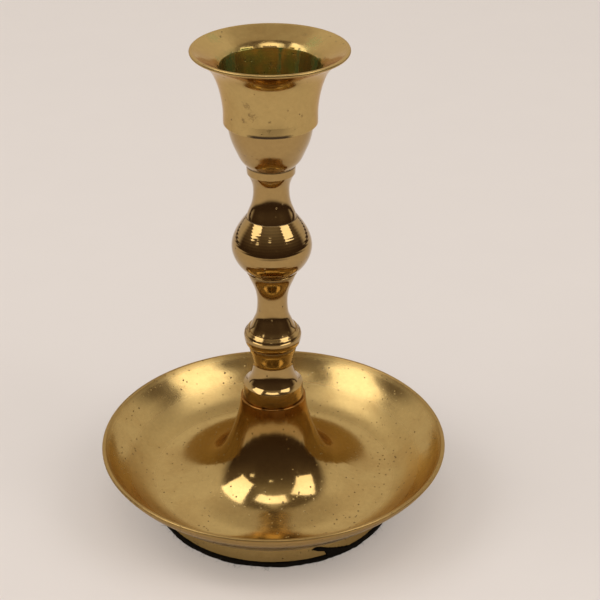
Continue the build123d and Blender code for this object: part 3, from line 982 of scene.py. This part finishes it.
    @staticmethod
    def _between(steps: tuple[Span, ...], at: float) -> float:
        """The value at a place between steps.

        Args:
            steps: The place and value of each step.
            at: The place.

        Returns:
            The value there.
        """
        value = steps[0][1]
        for (start, first), (stop, second) in zip(steps, steps[1:]):
            share = min(max((at - start) / (stop - start), 0.0), 1.0)
            value += (second - first) * share
        return value

    def _hairs(self, radius: float, high: float, rng: random.Random) -> tuple[Corners, Faces]:
        """Loose fibres that stick out of the cut edge and droop to the table.

        Args:
            radius: The disc's mean radius.
            high: Height of the disc's glued face.
            rng: Source of chance.

        Returns:
            Corners and faces.
        """
        points: Corners = []
        faces: Faces = []
        steps, sides = self.fibre_steps, self.fibre_sides
        for _ in range(self.fibres):
            angle = rng.uniform(0.0, 2 * math.pi)
            length = rng.uniform(*self.fibre_lengths) * MM
            start = Vector((radius - self.fibre_root, 0.0, rng.uniform(*self.fibre_heights) * high))
            lean = rng.uniform(-1.0, 1.0)
            base = len(points)
            for step in range(steps + 1):
                t = step / steps
                fall = (self.fibre_drop - start.z) * t * t
                centre = start + Vector((length * t, lean * length * t * t, fall))
                thin = self.fibre_radius * (1.0 - self.fibre_thinning * t)
                for side in range(sides):
                    turn = 2 * math.pi * side / sides
                    ring = centre + Vector((0.0, math.cos(turn), math.sin(turn))) * thin
                    points.append(Matrix.Rotation(angle, 3, "Z") @ ring)
            for step in range(steps):
                for side in range(sides):
                    a = base + step * sides + side
                    b = base + step * sides + (side + 1) % sides
                    faces.append((a, b, b + sides, a + sides))
        return points, faces


@dataclass(frozen=True)
class Lamp:
    """A rectangular lamp: the way to it, the way its height runs, its size and its glow, where 1 is white."""

    name: str
    way: Place
    up: Place
    size: Span
    glow: float


@dataclass
class Studio:
    """The pale table, the lights and the camera.

    The room's and the backdrop's tones are stops by height, from level at 0 to straight up at 1.
    """

    camera_place: Place = (0.00775, -0.36977, 0.26671)
    camera_pitch: float = 28.405
    focal_px: float = 1499.0
    image_px: float = 600.0
    sensor_mm: float = 36.0
    table_tone: Colour = (0.745, 0.704, 0.686)
    table_glow: Colour = (0.755, 0.682, 0.626)
    table_lift: float = 0.25
    table_roughness: float = 0.75
    table_middle: float = -0.03
    table_squeeze: float = 0.62
    table_fade: Span = (0.225, 0.44)
    table_reach: float = 4.0
    weave: Cloud = Cloud(40.0, 3.0)
    weave_swing: float = 0.03
    backdrop: tuple[tuple[float, Colour], ...] = (
        (0.0, (0.74, 0.67, 0.60)),
        (0.5, (0.80, 0.73, 0.66)),
        (0.74, (0.87, 0.80, 0.73)),
        (0.84, (0.63, 0.56, 0.49)),
        (1.0, (0.56, 0.49, 0.42)),
    )
    backdrop_span: Span = (0.10, 0.46)
    room: tuple[tuple[float, Colour], ...] = (
        (0.0, (0.060, 0.038, 0.030)),
        (0.38, (0.105, 0.075, 0.058)),
        (0.62, (0.185, 0.150, 0.118)),
        (0.82, (0.34, 0.29, 0.24)),
        (1.0, (0.54, 0.48, 0.41)),
    )
    side_tone: Colour = (0.17, 0.13, 0.10)
    side_span: Span = (0.50, 0.85)
    side_heights: Span = (0.12, 0.50)
    floor_past_edge: Colour = (0.060, 0.038, 0.030)
    fill_front: Colour = (0.87, 0.765, 0.63)
    fill_back: Colour = (0.34, 0.335, 0.33)
    fill_span: Span = (-0.5, 0.5)
    lamp_tone: Colour = (1.0, 0.98, 0.975)
    lamp_distance: float = 2.0
    aim: Place = (0.0, 0.0, 0.06)
    lamps: tuple[Lamp, ...] = (
        Lamp("left_box", (-0.667, -0.162, 0.727), (0.719, -0.394, 0.572), (1.47, 1.0), 2.6),
        Lamp("right_box", (0.659, -0.281, 0.698), (-0.587, 0.388, 0.711), (1.03, 1.21), 2.6),
        Lamp("top_strip", (-0.043, -0.292, 0.955), (0.02, 0.956, 0.293), (1.09, 0.50), 2.2),
        Lamp("small_lamp", (-0.08, -0.80, 0.60), (0.0, 0.0, 1.0), (0.24, 0.12), 1.6),
        Lamp("side_lamp", (-0.645, -0.62, 0.45), (0.0, 0.0, 1.0), (0.26, 0.16), 1.8),
    )

    def build(self) -> None:
        """Makes the camera, table, world and lamps."""
        self._camera()
        self._table()
        self._world()
        for lamp in self.lamps:
            self._hang(lamp)

    def _camera(self) -> None:
        """Puts the camera where the photograph was taken from."""
        data = bpy.data.cameras.new("camera")
        data.sensor_width = self.sensor_mm
        data.lens = self.sensor_mm * self.focal_px / self.image_px
        camera = bpy.data.objects.new("camera", data)
        camera.location = self.camera_place
        camera.rotation_euler = (math.radians(90.0 - self.camera_pitch), 0.0, 0.0)
        bpy.context.scene.collection.objects.link(camera)
        bpy.context.scene.camera = camera

    def _table(self) -> None:
        """Lays the table. In reflections it sinks into the dark a little way from the object."""
        reach = self.table_reach
        mesh = bpy.data.meshes.new("table")
        corners = [(-reach, -reach, 0), (reach, -reach, 0), (reach, reach, 0), (-reach, reach, 0)]
        mesh.from_pydata(corners, [], [(0, 1, 2, 3)])
        table = bpy.data.objects.new("table", mesh)
        bpy.context.scene.collection.objects.link(table)
        material, sh = new_material("table_white")
        place = sh.place()
        x, y, _ = sh.split(place)
        weave = self.weave.plain(sh, place)
        colour = sh.tint(self.table_tone, 1.0 - self.weave_swing * NOISE_MEAN + weave * self.weave_swing)
        matt = {"Base Color": colour, "Roughness": self.table_roughness}
        white = sh.node("ShaderNodeBsdfPrincipled", None, matt)
        dark = sh.node("ShaderNodeEmission", None, {"Color": self.floor_past_edge})
        pale = sh.node("ShaderNodeEmission", None, {"Color": self.table_glow})
        across = (x - self.table_middle) * self.table_squeeze
        ahead = sh.maths("MINIMUM", y, 0.0)
        past_edge = sh.ease(sh.maths("SQRT", across * across + ahead * ahead), *self.table_fade)
        path = sh.node("ShaderNodeLightPath")
        in_metal = sh.wire(path, Way.GLOSSY.value) * past_edge
        seen = sh.wire(path, Way.CAMERA.value) * self.table_lift
        lifted = sh.node("ShaderNodeMixShader", None, {0: seen, 1: white.outputs[0], 2: pale.outputs[0]})
        mixed = sh.node("ShaderNodeMixShader", None, {0: in_metal, 1: lifted.outputs[0], 2: dark.outputs[0]})
        sh.node("ShaderNodeOutputMaterial", None, {"Surface": mixed.outputs[0]})
        mesh.materials.append(material)
        LOG.info("laid the table")

    def _world(self) -> None:
        """Surrounds the object: pale behind it, a dark room in front, and a soft fill for matt surfaces."""
        world = bpy.data.worlds.new("studio")
        bpy.context.scene.world = world
        world.use_nodes = True
        sh = Shader(world.node_tree)
        direction = sh.wire(sh.node("ShaderNodeTexCoord"), "Generated")
        x, y, z = sh.split(direction)
        level = sh.maths("SQRT", x * x + y * y + TINY)
        bearing = y / level
        behind = sh.ease(bearing, *self.backdrop_span)
        aside = sh.ease(sh.maths("ABSOLUTE", x) / level, *self.side_span) * sh.ease(z, *self.side_heights)
        room_ramp = sh.node("ShaderNodeValToRGB", {"stops": self.room}, {0: z})
        back_ramp = sh.node("ShaderNodeValToRGB", {"stops": self.backdrop}, {0: z})
        ahead = sh.blend(aside, room_ramp.outputs[0], self.side_tone)
        room = sh.blend(behind, ahead, back_ramp.outputs[0])
        path = sh.node("ShaderNodeLightPath")
        fill = sh.blend(sh.ease(bearing, *self.fill_span), self.fill_front, self.fill_back)
        light = sh.blend(sh.wire(path, Way.GLOSSY.value), fill, room)
        light = sh.blend(sh.wire(path, Way.CAMERA.value), light, self.table_tone)
        background = sh.node("ShaderNodeBackground", None, {"Color": light, "Strength": 1.0})
        sh.node("ShaderNodeOutputWorld", None, {"Surface": background.outputs[0]})

    def _hang(self, lamp: Lamp) -> None:
        """Hangs a lamp that faces the object.

        Args:
            lamp: The lamp.
        """
        data = bpy.data.lights.new(lamp.name, "AREA")
        data.shape = "RECTANGLE"
        data.size, data.size_y = lamp.size
        data.energy = lamp.glow * math.pi * lamp.size[0] * lamp.size[1]
        data.color = self.lamp_tone
        back = Vector(lamp.way).normalized()
        side = Vector(lamp.up).cross(back).normalized()
        turn = Matrix((side, back.cross(side), back)).transposed()
        hung = bpy.data.objects.new(lamp.name, data)
        hung.matrix_world = Matrix.Translation(Vector(self.aim) + back * self.lamp_distance) @ turn.to_4x4()
        bpy.context.scene.collection.objects.link(hung)
        LOG.info("hung %s", lamp.name)


def main() -> None:
    """Dresses the candlestick and sets the stage."""
    logging.basicConfig(level=logging.INFO, format="%(name)s: %(message)s")
    bpy.context.scene.view_settings.view_transform = "Standard"
    Candlestick().dress()
    BaseFelt().build()
    Studio().build()


if __name__ == "__main__":
    main()
